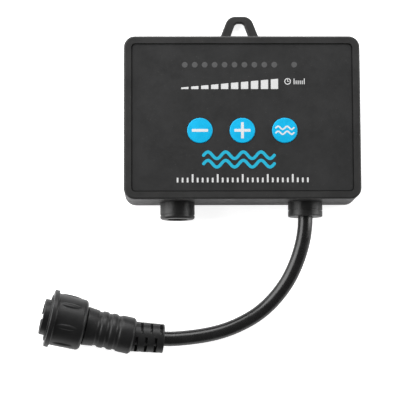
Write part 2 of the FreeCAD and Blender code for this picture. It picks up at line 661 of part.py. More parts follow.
def connector_core():
    """The hard core: a neck for the nut, a shoulder that keeps it on, and the hollow nose.

    The keyway that lets the plug in one way only is in the nose's lower side.
    """
    edge = 0.5
    slant = edge * (1 - math.sqrt(0.5))
    core = turned([
        (NECK_END, 0.0),
        (NECK_END, CORE_NECK_R),
        (NUT_REAR_WALL + 0.3, CORE_NECK_R),
        (NUT_REAR_WALL + 0.3, CORE_SHOULDER_R),
        (INSERT_REAR + 0.5, CORE_SHOULDER_R),
        (INSERT_REAR + 0.5, NOSE_R),
        (O_RING_AT - 1.0, NOSE_R),
        (O_RING_AT - 1.0, NOSE_R - O_RING_BED),
        (O_RING_AT + 1.0, NOSE_R - O_RING_BED),
        (O_RING_AT + 1.0, NOSE_R),
        (NOSE_LONG - edge, NOSE_R),
        (NOSE_LONG, NOSE_R - edge, NOSE_LONG - slant, NOSE_R - slant),
        (NOSE_LONG, NOSE_BORE_R),
        (INSERT_REAR, NOSE_BORE_R),
        (INSERT_REAR, 0.0),
    ])
    low = (-KEYWAY_HALF_W, -NOSE_R - 1, NOSE_LONG - KEYWAY_LONG)
    high = (KEYWAY_HALF_W, -NOSE_BORE_R + 0.2, NOSE_LONG + 1)
    return on_connector(core.cut(box(low, high)))


def contact_places():
    """The three contacts stand on a circle, one of them opposite the keyway."""
    angles = [math.radians(a) for a in (90, 210, 330)]
    return [(CONTACT_CIRCLE_R * math.cos(a), CONTACT_CIRCLE_R * math.sin(a)) for a in angles]


def socket_insert():
    """The insulator in the nose that carries the three contacts."""
    insert = turned([
        (INSERT_REAR, 0.0),
        (INSERT_REAR, NOSE_BORE_R),
        (INSERT_FACE - 0.4, NOSE_BORE_R),
        (INSERT_FACE, NOSE_BORE_R - 0.4),
        (INSERT_FACE, 0.0),
    ])
    low, high = INSERT_REAR, INSERT_FACE + 1
    cuts = [rod(CONTACT_OUT_R, (x, y, low), (x, y, high)) for x, y in contact_places()]
    return on_connector(insert.cut(cuts))


def contact_socket(place):
    """One female contact: a tube with a closed rear end."""
    x, y = place
    contact = rod(CONTACT_OUT_R, (x, y, INSERT_REAR), (x, y, INSERT_FACE - 0.3))
    return on_connector(contact.cut(rod(CONTACT_IN_R, (x, y, INSERT_REAR + 3), (x, y, INSERT_FACE + 1))))


def nose_seal():
    """The rubber ring that seals the connector when it is screwed together."""
    middle_r = NOSE_R - O_RING_BED + O_RING_R
    return on_connector(Part.makeTorus(middle_r, O_RING_R, V(0, 0, O_RING_AT), Z_AXIS))


def finger_rib(angle):
    """A low rib that swells in its middle: the part of an ellipsoid that stands out of the barrel."""
    barrel_r = NUT_REAR_R + (NUT_R - NUT_REAR_R) * RIB_MIDDLE / NUT_LONG
    spread = math.sqrt(1 - (RIB_SUNK / (RIB_SUNK + RIB_HIGH)) ** 2)
    stretch = FreeCAD.Matrix()
    stretch.scale(V(RIB_HALF_WIDE / spread, RIB_SUNK + RIB_HIGH, RIB_HALF_LONG / spread))
    rib = Part.makeSphere(1.0).transformGeometry(stretch)
    rib.translate(V(0, barrel_r - RIB_SUNK, RIB_MIDDLE))
    rib.rotate(V(0, 0, 0), Z_AXIS, angle)
    return rib


def coupling_nut():
    """The nut: a threaded sleeve with a front flange and seven finger ribs."""
    flange_rear = NUT_LONG - NUT_FLANGE_T
    edge_long, edge_in = NUT_REAR_EDGE
    fillet = NUT_FLANGE_FILLET
    slant = 1 - math.sqrt(0.5)
    outline = [
        (0.0, NUT_REAR_BORE_R),
        (0.0, NUT_REAR_R - edge_in),
        (edge_long, NUT_REAR_R, edge_long * slant * 1.15, NUT_REAR_R - edge_in * slant * 1.15),
        (flange_rear - fillet, NUT_R),
        (flange_rear, NUT_R + fillet, flange_rear - fillet * slant, NUT_R + fillet * slant),
        (flange_rear, NUT_FLANGE_R - 0.2),
        (flange_rear + 0.2, NUT_FLANGE_R),
        (NUT_LONG - 0.3, NUT_FLANGE_R),
        (NUT_LONG, NUT_FLANGE_R - 0.3),
        (NUT_LONG, NUT_BOSS_R),
        (NUT_LONG + NUT_BOSS_T, NUT_BOSS_R - 0.2),
        (NUT_LONG + NUT_BOSS_T, NUT_BORE_R + 0.1),
        (NUT_LONG, NUT_BORE_R),
    ]
    crest = NUT_LONG - 1.2
    for i in range(THREAD_TURNS):
        top = crest - i * THREAD_PITCH
        outline += [
            (top, NUT_BORE_R),
            (top - 0.35, NUT_THREAD_R),
            (top - 0.75, NUT_THREAD_R),
            (top - 1.1, NUT_BORE_R),
        ]
    outline += [(NUT_REAR_WALL, NUT_BORE_R), (NUT_REAR_WALL, NUT_REAR_BORE_R)]
    nut = turned(outline)
    ribs = [finger_rib(RIB_AT + i * 360 / RIBS) for i in range(RIBS)]
    return on_connector(united([nut] + ribs))


# ---------------------------------------------------------------- assembly
def nodes():
    """Every piece by its node's name."""
    made = {
        "front_case": front_case(),
        "rear_case": rear_case(),
        "front_overlay": front_overlay(),
        "case_screws": case_screws(),
        "board_screws": board_screws(),
        "circuit_board": circuit_board(),
        "microcontroller": chip(-10.0, 8.0, width=7.0, height=7.0, thick=1.2, legs=8, leg_pitch=0.8),
        "voltage_regulator": chip(-30.0, 2.0, width=6.0, height=6.5, thick=2.0, legs=3, leg_pitch=2.0),
        "input_capacitor": capacitor(-16.0, -18.0),
        "bulk_capacitor": capacitor(-5.0, -18.0),
        "power_inductor": inductor(-18.0, -6.0),
        "wire_header": wire_header(GLAND_X, HEADER_Y),
        "power_socket_collar": power_socket_collar(),
        "power_jack_body": power_jack_body(),
        "power_jack_pin": power_jack_pin(),
        "power_jack_spring": power_jack_spring(),
        "power_lead_positive": power_lead(side=0, rise_y=-14.0),
        "power_lead_negative": power_lead(side=1, rise_y=-17.0),
        "cable_gland": cable_gland(),
        "cable_tail": cable_tail(),
        "output_cable": output_cable(),
        "connector_boot": connector_boot(),
        "connector_grip": connector_grip(),
        "connector_core": connector_core(),
        "socket_insert": socket_insert(),
        "nose_seal": nose_seal(),
        "coupling_nut": coupling_nut(),
    }
    for name, x in zip(KEY_NAMES, key_places()):
        made["key_" + name] = key_cap(x)
        made["switch_plunger_" + name] = switch_plunger(x)
        made["switch_body_" + name] = switch_body(x)
    for i, x in enumerate(led_places()[:-1]):
        made[f"led_{i + 1:02d}"] = led(x)
    made["led_timer"] = led(TIMER_LED_X)
    for i in (-1, 0, 1):
        driver = chip(12.0 + i * 9.5, 6.0, width=4.0, height=5.0, thick=1.5, legs=4, leg_pitch=1.27)
        made[f"phase_wire_{i + 2}"] = phase_wire(i)
        made[f"phase_driver_{i + 2}"] = driver
    for i, place in enumerate(contact_places()):
        made[f"contact_socket_{i + 1}"] = contact_socket(place)
    return made


def main():
    os.makedirs("parts", exist_ok=True)
    for name, shape in nodes().items():
        if not shape.isValid():
            print("not valid:", name)
        shape.exportStep(f"parts/{name}.step")
    wire, radii = route_wire(CORD_ROUTE)
    ideal = wire.Length * math.pi * CORD_R ** 2
    print("lead: length", round(wire.Length, 1), "bend radii", [round(r, 1) for r in radii])
    print("lead: volume", round(output_cable().Volume, 1), "section times length", round(ideal, 1))


main()
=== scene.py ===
import json
import math

import bmesh
import bpy
from mathutils import Matrix, Vector
from mathutils.geometry import tessellate_polygon


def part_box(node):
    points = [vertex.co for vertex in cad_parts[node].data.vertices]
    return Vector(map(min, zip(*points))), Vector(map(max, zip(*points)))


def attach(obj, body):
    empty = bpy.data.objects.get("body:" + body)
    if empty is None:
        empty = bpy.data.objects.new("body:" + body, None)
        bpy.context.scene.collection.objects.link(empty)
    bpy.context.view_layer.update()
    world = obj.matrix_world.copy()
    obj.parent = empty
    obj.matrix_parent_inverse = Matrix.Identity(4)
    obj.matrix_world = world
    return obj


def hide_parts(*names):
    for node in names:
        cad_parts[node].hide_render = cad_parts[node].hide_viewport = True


# Controller of a wave maker pump on a white table: a flat case with three keys and a row of
# lamps, and a short output lead that ends in a round screw-on connector.
# Metres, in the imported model's frame: +X to the right of the keypad, +Y towards the hanging
# eye, +Z out of the keypad.  Lengths that part.py gives in millimetres are written as n * MM.

MM = 0.001
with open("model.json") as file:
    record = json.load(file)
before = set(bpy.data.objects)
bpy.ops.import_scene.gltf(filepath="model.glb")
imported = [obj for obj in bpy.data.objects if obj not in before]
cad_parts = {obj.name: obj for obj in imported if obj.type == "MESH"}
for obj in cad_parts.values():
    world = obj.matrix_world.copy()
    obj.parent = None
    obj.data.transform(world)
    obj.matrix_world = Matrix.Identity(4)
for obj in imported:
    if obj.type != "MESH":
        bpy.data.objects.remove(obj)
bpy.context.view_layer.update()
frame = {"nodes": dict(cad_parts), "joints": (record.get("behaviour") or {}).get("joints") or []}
scene = bpy.context.scene
scene.view_settings.view_transform = "Standard"


# ---------------------------------------------------------------- camera
def aimed(at, to, roll=0.0):
    """The place of a camera or lamp at one point that looks to another, with +Y of the frame up."""
    back = (Vector(at) - Vector(to)).normalized()
    right = Vector((0, 1, 0)).cross(back).normalized()
    up = back.cross(right)
    turn = Matrix((right, up, back)).transposed().to_4x4()
    return Matrix.Translation(at) @ turn @ Matrix.Rotation(roll, 4, "Z")


CAMERA_AT = (-0.0298, -0.1037, 0.689)
CAMERA_TO = (-0.0171, -0.0334, 0.025)
CAMERA_ROLL = -0.0041
FOCAL_MM, SENSOR_MM = 151.0, 36.0

lens = bpy.data.cameras.new("photo_camera")
lens.lens, lens.sensor_width = FOCAL_MM, SENSOR_MM
camera = bpy.data.objects.new("photo_camera", lens)
camera.matrix_world = aimed(CAMERA_AT, CAMERA_TO, CAMERA_ROLL)
scene.collection.objects.link(camera)
scene.camera = camera

# ---------------------------------------------------------------- output lead
CORD_R = 3.0 * MM
CORD_ROUTE = (
    (0.02600, -0.03880, 0.01000),
    (0.02600, -0.04490, 0.01000),
    (0.02283, -0.05680, 0.00880),
    (0.01768, -0.06713, 0.00620),
    (0.00891, -0.07682, 0.00400),
    (-0.00159, -0.08288, 0.00320),
    (-0.01268, -0.08642, 0.00405),
    (-0.02785, -0.08824, 0.00640),
    (-0.03182, -0.08793, 0.00675),
)

line = bpy.data.curves.new("lead_jacket", "CURVE")
line.dimensions = "3D"
spline = line.splines.new("NURBS")
spline.points.add(len(CORD_ROUTE) - 1)
for point, place in zip(spline.points, CORD_ROUTE):
    point.co = (*place, 1.0)
    point.radius = CORD_R
spline.order_u = 3
spline.use_endpoint_u = True
spline.resolution_u = 14
spline.use_smooth = True
line.bevel_depth = 1.0          # times each point's radius
line.bevel_resolution = 8
line.use_fill_caps = True
lead_jacket = bpy.data.objects.new("lead_jacket", line)
scene.collection.objects.link(lead_jacket)
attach(lead_jacket, "housing")
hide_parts("output_cable")


# ---------------------------------------------------------------- material nodes
def new_material(name):
    material = bpy.data.materials.new(name)
    material.use_nodes = True
    tree = material.node_tree
    return material, tree, tree.nodes["Principled BSDF"]


def add(tree, kind, settings=None, **sockets):
    """A shader node; its settings are its properties, and sockets are values or links."""
    node = tree.nodes.new("ShaderNode" + kind)
    for name, value in (settings or {}).items():
        setattr(node, name, value)
    for name, value in sockets.items():
        socket = node.inputs[name.replace("_", " ")]
        if isinstance(value, bpy.types.NodeSocket):
            tree.links.new(value, socket)
        else:
            socket.default_value = value
    return node


def maths(tree, operation, *values):
    """One sum; each value is a number or a link."""
    node = tree.nodes.new("ShaderNodeMath")
    node.operation = operation
    for socket, value in zip(node.inputs, values):
        if isinstance(value, bpy.types.NodeSocket):
            tree.links.new(value, socket)
        else:
            socket.default_value = value
    return node.outputs[0]


def mixed(tree, factor, a, b):
    """A colour between a and b; each is (r, g, b) or a link."""
    node = tree.nodes.new("ShaderNodeMix")
    node.data_type = "RGBA"
    for index, value in ((0, factor), (6, a), (7, b)):
        if isinstance(value, bpy.types.NodeSocket):
            tree.links.new(value, node.inputs[index])
        else:
            node.inputs[index].default_value = value if index == 0 else (*value, 1.0)
    return node.outputs[2]


def span(tree, value, low, high, to_low=0.0, to_high=1.0):
    """Carries the range low..high over to another, with the ends held."""
    node = add(tree, "MapRange", {"clamp": True}, Value=value, From_Min=low, From_Max=high)
    node.inputs["To Min"].default_value = to_low
    node.inputs["To Max"].default_value = to_high
    return node.outputs["Result"]


def noise(tree, size, detail=2.0, rough=0.5, stretch=None):
    """Noise with a grain of that size in metres; stretch lengthens it along the axes."""
    vector = add(tree, "TexCoord").outputs["Object"]
    if stretch:
        mapping = add(tree, "Mapping", Vector=vector)
        mapping.inputs["Scale"].default_value = [1 / s for s in stretch]
        vector = mapping.outputs["Vector"]
    node = add(tree, "TexNoise", Vector=vector, Scale=1 / size, Detail=detail, Roughness=rough)
    return node.outputs["Fac"]


def specks(tree, size, share):
    """Small round specks, one in each cell of that size, of a radius up to that share of it."""
    vector = add(tree, "TexCoord").outputs["Object"]
    cells = add(tree, "TexVoronoi", {"feature": "F1"}, Vector=vector, Scale=1 / size, Randomness=1.0)
    chosen = add(tree, "SeparateColor", Color=cells.outputs["Color"]).outputs[0]
    speck = span(tree, cells.outputs["Distance"], share, share * 0.6)
    return maths(tree, "MULTIPLY", speck, chosen)


def edge_highlight_and_wear(tree, radius):
    """1 on the mesh's outward edges within that radius, broken up, and 0 elsewhere: the mask of a
    painted edge highlight mixed with rubbed wear.
    """
    soft = add(tree, "Bevel", {"samples": 4}, Radius=radius).outputs["Normal"]
    sharp = add(tree, "NewGeometry").outputs["Normal"]
    dot = add(tree, "VectorMath", {"operation": "DOT_PRODUCT"})
    tree.links.new(soft, dot.inputs[0])
    tree.links.new(sharp, dot.inputs[1])
    edge = span(tree, dot.outputs["Value"], 0.97, 0.75)
    return maths(tree, "MULTIPLY", edge, span(tree, noise(tree, 1.6 * MM), 0.35, 0.6))


def scaled(colour, factor, plus=0.0):
    """The colour made that many times brighter, with plus added to each channel."""
    return [min(c * factor + plus, 1.0) for c in colour]


def bumped(tree, shader, *layers):
    """Each layer is a height (0 to 1) and its depth in metres."""
    normal = None
    for height, depth in layers:
        bump = add(tree, "Bump", Height=height, Distance=depth, Strength=1.0)
        if normal is not None:
            tree.links.new(normal, bump.inputs["Normal"])
        normal = bump.outputs["Normal"]
    tree.links.new(normal, shader.inputs["Normal"])


HOUSE_DUST, DUST_ON_RUBBER = (0.35, 0.34, 0.32), (0.3, 0.3, 0.29)


def moulded(name, colour, rough, grain=0.22 * MM, grain_depth=0.012 * MM, mottle=0.12,
            edge=None, dust=0.0, gloss=0.35):
    """Moulded plastic: a spark-eroded grain, cloudy patches, a painted highlight with some rubbed wear
    on its edges, and a little dust.
    """
    material, tree, shader = new_material(name)
    fine = noise(tree, grain, detail=3.0, rough=0.6)
    cloud = noise(tree, 9 * MM, detail=3.0)
    patch = noise(tree, 1.8 * MM, detail=2.0)
    darker, lighter = scaled(colour, 1 - mottle), scaled(colour, 1 + mottle, 0.001)
    base = mixed(tree, span(tree, cloud, 0.3, 0.7), darker, lighter)
    base = mixed(tree, span(tree, fine, 0.45, 0.75, 0.0, 0.35), base, scaled(colour, 1.5, 0.003))
    roughness = span(tree, maths(tree, "ADD", patch, cloud), 0.7, 1.3, rough - 0.05, rough + 0.06)
    if edge:
        # painted edge highlight, partly rubbed wear: the outward edges get a lighter colour and less
        # roughness
        edge_sheen_and_wear = edge_highlight_and_wear(tree, edge)
        base = mixed(tree, maths(tree, "MULTIPLY", edge_sheen_and_wear, 0.5), base, scaled(colour, 1.9, 0.012))
        roughness = maths(tree, "SUBTRACT", roughness, maths(tree, "MULTIPLY", edge_sheen_and_wear, 0.12))
    if dust:
        speck = specks(tree, 1.4 * MM, 0.13)
        base = mixed(tree, maths(tree, "MULTIPLY", speck, dust), base, HOUSE_DUST)
    tree.links.new(base, shader.inputs["Base Color"])
    tree.links.new(roughness, shader.inputs["Roughness"])
    shader.inputs["Specular IOR Level"].default_value = gloss
    bumped(tree, shader, (patch, grain_depth * 0.8), (fine, grain_depth))
    return material


def rubber(name, colour, rough, flow=(1.0, 1.0, 1.0), dust=0.0, gloss=0.45):
    """Soft black PVC or rubber: smooth and a little uneven, with faint lines where it flowed."""
    material, tree, shader = new_material(name)
    lines = noise(tree, 0.35 * MM, detail=2.0, stretch=flow)
    cloud = noise(tree, 4 * MM, detail=3.0)
    base = mixed(tree, span(tree, cloud, 0.3, 0.7), scaled(colour, 0.8), scaled(colour, 1.3))
    if dust:
        speck = specks(tree, 1.1 * MM, 0.12)
        base = mixed(tree, maths(tree, "MULTIPLY", speck, dust), base, DUST_ON_RUBBER)
    roughness = span(tree, maths(tree, "ADD", lines, cloud), 0.7, 1.3, rough - 0.05, rough + 0.07)
    tree.links.new(base, shader.inputs["Base Color"])
    tree.links.new(roughness, shader.inputs["Roughness"])
    shader.inputs["Specular IOR Level"].default_value = gloss
    bumped(tree, shader, (cloud, 0.02 * MM), (lines, 0.004 * MM))
    return material


def metal(name, colour, rough, brushed=(1.0, 1.0, 1.0), tarnish=(0.6, 0.55, 0.5)):
    """Plated or turned metal, with tool marks and a slight tarnish."""
    material, tree, shader = new_material(name)
    marks = noise(tree, 0.06 * MM, detail=2.0, stretch=brushed)
    stain = noise(tree, 0.9 * MM, detail=4.0)
    dull = [c * t for c, t in zip(colour, tarnish)]
    base = mixed(tree, span(tree, stain, 0.5, 0.75), colour, dull)
    roughness = span(tree, maths(tree, "ADD", marks, stain), 0.8, 1.3, rough, rough + 0.15)
    tree.links.new(base, shader.inputs["Base Color"])
    tree.links.new(roughness, shader.inputs["Roughness"])
    shader.inputs["Metallic"].default_value = 1.0
    bumped(tree, shader, (marks, 0.002 * MM))
    return material


def ink(name, colour, thin=0.08):
    """Screen-printed ink: dense, slightly uneven, with a fine tooth."""
    material, tree, shader = new_material(name)
    film = noise(tree, 0.5 * MM, detail=3.0)
    tooth = noise(tree, 0.08 * MM, detail=1.0)
    base = mixed(tree, span(tree, film, 0.35, 0.7), scaled(colour, 1 - thin), colour)
    tree.links.new(base, shader.inputs["Base Color"])
    tree.links.new(span(tree, film, 0.3, 0.7, 0.42, 0.52), shader.inputs["Roughness"])
    shader.inputs["Specular IOR Level"].default_value = 0.3
    bumped(tree, shader, (film, 0.006 * MM), (tooth, 0.003 * MM))
    return material


def painted(name, colour, grain):
    """A key's printed face on soft plastic: one even colour with a fine satin grain."""
    material, tree, shader = new_material(name)
    fine = noise(tree, grain, detail=2.0)
    cloud = noise(tree, 3.5 * MM, detail=2.0)
    base = mixed(tree, span(tree, cloud, 0.3, 0.7), scaled(colour, 0.92), scaled(colour, 1.06))
    tree.links.new(base, shader.inputs["Base Color"])
    tree.links.new(span(tree, cloud, 0.3, 0.7, 0.40, 0.50), shader.inputs["Roughness"])
    shader.inputs["Specular IOR Level"].default_value = 0.25
    bumped(tree, shader, (cloud, 0.01 * MM), (fine, 0.004 * MM))
    return material


RESIN_DARK, RESIN_PALE, RESIN_DEPTH = (0.075, 0.075, 0.078), (0.11, 0.11, 0.112), 0.6 * MM


def lamp_resin(name):
    """Milky diffusing resin of an unlit lamp."""
    material, tree, shader = new_material(name)
    cloud = noise(tree, 0.5 * MM, detail=3.0)
    base = mixed(tree, span(tree, cloud, 0.3, 0.7), RESIN_DARK, RESIN_PALE)
    tree.links.new(base, shader.inputs["Base Color"])
    tree.links.new(span(tree, cloud, 0.3, 0.7, 0.22, 0.36), shader.inputs["Roughness"])
    shader.inputs["Subsurface Weight"].default_value = 0.15
    shader.inputs["Subsurface Radius"].default_value = [RESIN_DEPTH] * 3
    shader.inputs["Subsurface Scale"].default_value = 1.0
    bumped(tree, shader, (cloud, 0.004 * MM))
    return material


TRACK_W, TRACK_LONG, TRACK_PITCH, VIA_PITCH = 0.25 * MM, 7 * MM, 1.9 * MM, 4.5 * MM
MASK_DARK, MASK_PALE = (0.006, 0.060, 0.028), (0.009, 0.078, 0.036)
MASK_ON_COPPER, TINNED = (0.03, 0.16, 0.07), (0.55, 0.53, 0.48)


def circuit_board_face(name):
    """Green solder mask over copper: tracks show as paler lanes, with tinned vias."""
    material, tree, shader = new_material(name)
    where = add(tree, "TexCoord").outputs["Object"]
    pattern = {"offset": 0.5, "squash": 0.6, "squash_frequency": 3}
    lanes = add(tree, "TexBrick", pattern, Vector=where, Scale=1.0, Mortar_Size=TRACK_W,
                Mortar_Smooth=0.2, Brick_Width=TRACK_LONG, Row_Height=TRACK_PITCH)
    track = lanes.outputs["Fac"]
    weave = noise(tree, 0.5 * MM, detail=1.0, stretch=(1.0, 3.0, 1.0))
    mask = mixed(tree, span(tree, weave, 0.3, 0.7), MASK_DARK, MASK_PALE)
    mask = mixed(tree, maths(tree, "MULTIPLY", track, 0.75), mask, MASK_ON_COPPER)
    spots = {"feature": "F1"}
    cells = add(tree, "TexVoronoi", spots, Vector=where, Scale=1 / VIA_PITCH, Randomness=0.8)
    via = span(tree, cells.outputs["Distance"], 0.1, 0.085)
    base = mixed(tree, via, mask, TINNED)
    tree.links.new(base, shader.inputs["Base Color"])
    tree.links.new(span(tree, via, 0.0, 1.0, 0.32, 0.25), shader.inputs["Roughness"])
    tree.links.new(via, shader.inputs["Metallic"])
    bumped(tree, shader, (track, 0.03 * MM), (via, 0.03 * MM))
    return material


SLEEVE_DARK, SLEEVE_PALE = (0.012, 0.012, 0.015), (0.02, 0.02, 0.024)
SLEEVE_STRIPE, BARE_CAN, BARE_RIM = (0.42, 0.42, 0.44), (0.72, 0.72, 0.73), 0.3 * MM


def sleeved_can(name):
    """A capacitor's black shrink sleeve with a pale stripe down one side and a bare rim."""
    material, tree, shader = new_material(name)
    where = add(tree, "TexCoord").outputs["Object"]
    place = add(tree, "SeparateXYZ", Vector=where)
    film = noise(tree, 0.8 * MM, detail=3.0)
    facing = add(tree, "SeparateXYZ", Vector=add(tree, "NewGeometry").outputs["Normal"])
    stripe = span(tree, facing.outputs["Y"], 0.82, 0.86)
    sleeve = mixed(tree, span(tree, film, 0.3, 0.7), SLEEVE_DARK, SLEEVE_PALE)
    sleeve = mixed(tree, stripe, sleeve, SLEEVE_STRIPE)
    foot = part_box("bulk_capacitor")[0].z
    bare = span(tree, place.outputs["Z"], foot + 1.5 * BARE_RIM, foot + BARE_RIM)
    base = mixed(tree, bare, sleeve, BARE_CAN)
    tree.links.new(base, shader.inputs["Base Color"])
    tree.links.new(bare, shader.inputs["Metallic"])
    tree.links.new(span(tree, film, 0.3, 0.7, 0.28, 0.4), shader.inputs["Roughness"])
    bumped(tree, shader, (film, 0.01 * MM))
    return material


WINDING_R, WINDING_FOOT, WINDING_SCALE = 3.6 * MM, 0.95 * MM, 2.4 * MM
COPPER_DARK, COPPER_PALE = (0.16, 0.045, 0.012), (0.62, 0.22, 0.07)
FERRITE_DARK, FERRITE_PALE = (0.02, 0.02, 0.021), (0.055, 0.055, 0.056)


def wound_ferrite(name):
    """Grey ferrite whose waist carries a copper winding."""
    material, tree, shader = new_material(name)
    low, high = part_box("power_inductor")
    middle = (low + high) / 2
    where = add(tree, "TexCoord").outputs["Object"]
    place = add(tree, "SeparateXYZ", Vector=where)
    out_x = maths(tree, "SUBTRACT", place.outputs["X"], middle.x)
    out_y = maths(tree, "SUBTRACT", place.outputs["Y"], middle.y)
    square_x = maths(tree, "MULTIPLY", out_x, out_x)
    square_y = maths(tree, "MULTIPLY", out_y, out_y)
    inside = maths(tree, "LESS_THAN", maths(tree, "ADD", square_x, square_y), WINDING_R ** 2)
    above = maths(tree, "GREATER_THAN", place.outputs["Z"], low.z + WINDING_FOOT)
    waist = maths(tree, "MULTIPLY", inside, above)
    bands = {"wave_type": "BANDS", "bands_direction": "Z"}
    turns = add(tree, "TexWave", bands, Vector=where, Scale=1 / WINDING_SCALE)
    copper = mixed(tree, turns.outputs["Fac"], COPPER_DARK, COPPER_PALE)
    grain = noise(tree, 0.15 * MM, detail=3.0)
    ferrite = mixed(tree, grain, FERRITE_DARK, FERRITE_PALE)
    tree.links.new(mixed(tree, waist, ferrite, copper), shader.inputs["Base Color"])
    tree.links.new(span(tree, waist, 0.0, 1.0, 0.62, 0.3), shader.inputs["Roughness"])
    tree.links.new(waist, shader.inputs["Metallic"])
    bumped(tree, shader, (grain, 0.01 * MM))
    return material


# ---------------------------------------------------------------- one material for each slot
ALONG_Y = (1.0, 14.0, 1.0)

looks = {
    "case": moulded("case_abs", (0.0135, 0.0133, 0.0132), 0.50, edge=0.5 * MM, dust=0.10),
    "overlay": moulded("overlay_film", (0.0125, 0.0125, 0.0127), 0.48, grain=0.16 * MM,
                       grain_depth=0.006 * MM, mottle=0.06, dust=0.08),
    "key": painted("key_blue", (0.0, 0.345, 0.60), 0.12 * MM),
    "black_rubber": rubber("gland_rubber", (0.013, 0.013, 0.013), 0.37, flow=ALONG_Y, dust=0.05,
                           gloss=0.34),
    "cable_jacket": rubber("jacket_pvc", (0.005, 0.005, 0.005), 0.26, dust=0.05),
    "connector": moulded("connector_plastic", (0.0062, 0.0062, 0.0064), 0.41, grain=0.3 * MM,
                         grain_depth=0.008 * MM, edge=0.35 * MM, dust=0.08, gloss=0.30),
    "insulator": moulded("insulator_plastic", (0.02, 0.02, 0.021), 0.42, grain=0.2 * MM,
                         grain_depth=0.005 * MM, edge=0.2 * MM),
    "seal": rubber("seal_rubber", (0.20, 0.035, 0.015), 0.36),
    "contact": metal("contact_gold", (0.83, 0.60, 0.24), 0.22),
    "spring_metal": metal("spring_nickel", (0.66, 0.63, 0.57), 0.24, brushed=ALONG_Y),
    "screw_steel": metal("screw_zinc", (0.50, 0.50, 0.50), 0.30, tarnish=(0.7, 0.68, 0.62)),
    "board": circuit_board_face("board_green"),
    "chip": moulded("chip_epoxy", (0.022, 0.022, 0.024), 0.55, grain=0.1 * MM,
                    grain_depth=0.006 * MM),
    "capacitor": sleeved_can("capacitor_sleeve"),
    "ferrite": wound_ferrite("inductor_ferrite"),
    "header": moulded("header_nylon", (0.55, 0.53, 0.47), 0.45, grain=0.3 * MM,
                      grain_depth=0.005 * MM),
    "lamp": lamp_resin("lamp_resin"),
    "switch": moulded("switch_black", (0.03, 0.03, 0.03), 0.45, grain=0.15 * MM),
    "plunger": moulded("plunger_plastic", (0.10, 0.10, 0.10), 0.40, grain=0.15 * MM),
    "wire_red": rubber("wire_red", (0.42, 0.02, 0.015), 0.34),
    "wire_black": rubber("wire_black", (0.02, 0.02, 0.02), 0.34),
    "wire_brown": rubber("wire_brown", (0.13, 0.05, 0.02), 0.34),
    "wire_blue": rubber("wire_blue", (0.03, 0.10, 0.42), 0.34),
    "wire_yellow": rubber("wire_yellow", (0.55, 0.42, 0.03), 0.34),
}
white_ink = ink("ink_white", (0.56, 0.56, 0.56))
blue_ink = ink("ink_blue", (0.01, 0.34, 0.50))
key_ink = ink("ink_on_keys", (0.58, 0.60, 0.62))
window_film = ink("window_film", (0.078, 0.078, 0.079), thin=0.2)

for node in frame["nodes"].values():
    for place in node.material_slots:
        place.material = looks[place.material.name.split(".")[0]]
line.materials.append(looks["cable_jacket"])


# ---------------------------------------------------------------- skins turned round an axis
def rounded(corners, steps=4):
    """An outline (along, radius, rounding) with its corners rounded, as (along, radius) points."""
    points = []
    for i, (s, r, rounding) in enumerate(corners):
        at = Vector((s, r))
        before, after = Vector(corners[i - 1][:2]), Vector(corners[(i + 1) % len(corners)][:2])
        if not rounding:
            points.append((s, r))
            continue
        back, on = (before - at).normalized(), (after - at).normalized()
        turn = math.pi - back.angle(on)
        shortest = min((before - at).length, (after - at).length)
        reach = min(rounding * math.tan(turn / 2), 0.49 * shortest)
        radius = reach / math.tan(turn / 2)
        centre = at + (back + on).normalized() * (radius / math.cos(turn / 2))
        first = at + back * reach - centre
        sense = 1 if back.cross(on) < 0 else -1
        for step in range(steps + 1):
            spoke = first.copy()
            spoke.rotate(Matrix.Rotation(sense * turn * step / steps, 2))
            points.append(tuple(centre + spoke))
    return points


def spaced(points, longest):
    """The same closed outline with points added so that no run is longer than longest."""
    out = []
    for i, (s, r) in enumerate(points):
        nexts, nextr = points[(i + 1) % len(points)]
        out.append((s, r))
        parts = math.ceil(math.hypot(nexts - s, nextr - r) / longest)
        for k in range(1, parts):
            out.append((s + (nexts - s) * k / parts, r + (nextr - r) * k / parts))
    return out


def axis_place(start, way):
    """A frame at start whose Z runs along way and whose Y stays near up."""
    z = Vector(way).normalized()
    x = Vector((0, 0, 1)).cross(z).normalized()
    return Matrix.Translation(start) @ Matrix((x, z.cross(x), z)).transposed().to_4x4()


def finished(name, mesh, body, slot, replaces=(), material=None, sharp=35):
    """A mesh piece that rides on a body, smooth but for edges sharper than that angle."""
    bmesh.ops.remove_doubles(mesh, verts=mesh.verts, dist=0.0002 * MM)
    bmesh.ops.recalc_face_normals(mesh, faces=mesh.faces)
    data = bpy.data.meshes.new(name)
    mesh.to_mesh(data)
    mesh.free()
    for polygon in data.polygons:
        polygon.use_smooth = True
    data.set_sharp_from_angle(angle=math.radians(sharp))
    data.materials.append(material or looks[slot])
    made = bpy.data.objects.new(name, data)
    scene.collection.objects.link(made)
    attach(made, body)
    if replaces:
        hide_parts(*replaces)


def turned_skin(outline, angles, place, rise=None, ring=True):
    """A skin made by turning an outline in mm round the Z of place; rise lifts each point outwards.

    With ring the outline is a closed loop round a hole; without, it starts and ends on the axis.
    """
    mesh = bmesh.new()
    rows = []
    for angle in angles:
        row = []
        for s, r in outline:
            out = r + rise(s, r, angle) if rise and r else r
            at = Vector((-math.sin(angle) * out, math.cos(angle) * out, s)) * MM
            row.append(mesh.verts.new(place @ at))
        rows.append(row)
    runs = len(outline) if ring else len(outline) - 1
    for here, there in zip(rows, rows[1:] + rows[:1]):
        for i in range(runs):
            j = (i + 1) % len(outline)
            mesh.faces.new((here[i], here[j], there[j], there[i]))
    return mesh


def eased(t):
    """A smooth step from 0 to 1."""
    t = min(max(t, 0.0), 1.0)
    return t * t * (3 - 2 * t)


# ---------------------------------------------------------------- the connector's skins
nut_joint = next(j for j in frame["joints"] if j["name"] == "coupling_nut_turn")
NUT_JOINT_S = 5.0 * MM
nose_way = Vector(nut_joint["axis"])
connector = axis_place(Vector(nut_joint["pos_m"]) - nose_way * NUT_JOINT_S, nose_way)

